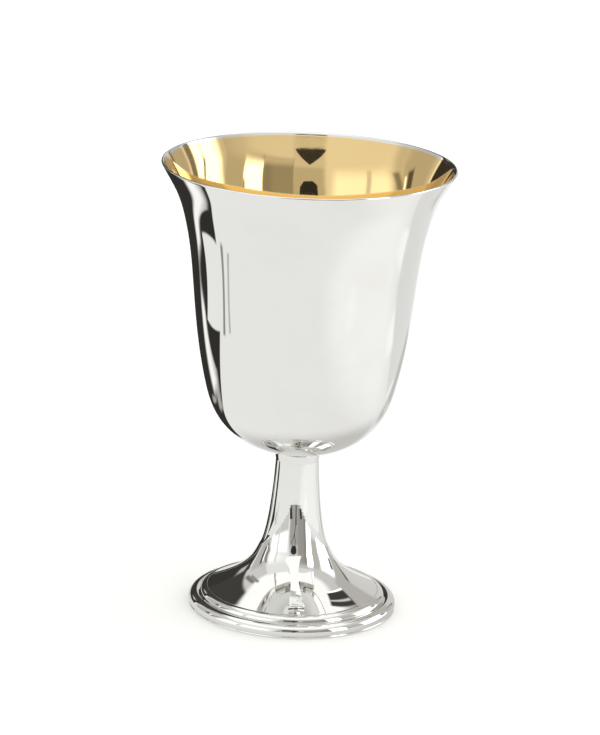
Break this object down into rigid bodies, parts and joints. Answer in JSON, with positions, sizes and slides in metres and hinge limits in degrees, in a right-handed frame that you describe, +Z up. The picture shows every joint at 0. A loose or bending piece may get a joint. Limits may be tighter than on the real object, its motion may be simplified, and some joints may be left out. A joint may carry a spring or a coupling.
{
  "type": "ciborium vessel",
  "caption": "Open footed church cup: flared silver bowl with a gilt lining, trumpet stem and foot with half-round base mouldings and a small applied cross.",
  "frame": {"origin": "centre of the base at the surface the cup stands on", "axes": "+Z up along the axis of the cup; -Y is the front, where the cross is; +X to the right seen from the front"},
  "size_m": [0.1122, 0.1122, 0.1764],
  "materials": {
    "silver_plate": "mirror-polished silver plate with faint polishing hairlines",
    "gilt": "mirror-polished gold plate",
    "bare_brass": "turned brass, fine tool marks",
    "washer_leather": "compressed leather, matt"
  },
  "bodies": {
    "foot": {"stem_foot": "silver_plate", "stem_collar": "silver_plate", "threaded_bush": "bare_brass", "upper_foot_ring": "silver_plate", "lower_foot_ring": "silver_plate", "foot_wire": "silver_plate", "cross": "silver_plate"},
    "washer": {"seat_washer": "washer_leather"},
    "bowl": {"bowl_shell": "silver_plate", "gilt_lining": "gilt", "bowl_boss": "bare_brass", "threaded_stud": "bare_brass"}
  },
  "joints": [
    {"name": "bowl_lift", "type": "slide", "parent": "foot", "child": "washer", "axis": [0, 0, 1], "range_m": [0, 0.0113]},
    {"name": "bowl_turn", "type": "hinge", "parent": "washer", "child": "bowl", "pos_m": [0, 0, 0.0611], "axis": [0, 0, 1], "range_deg": [0, 3240]}
  ],
  "couplings": [
    {"joint": "bowl_lift", "follows": "bowl_turn", "m_per_rad": 0.00019894}
  ]
}
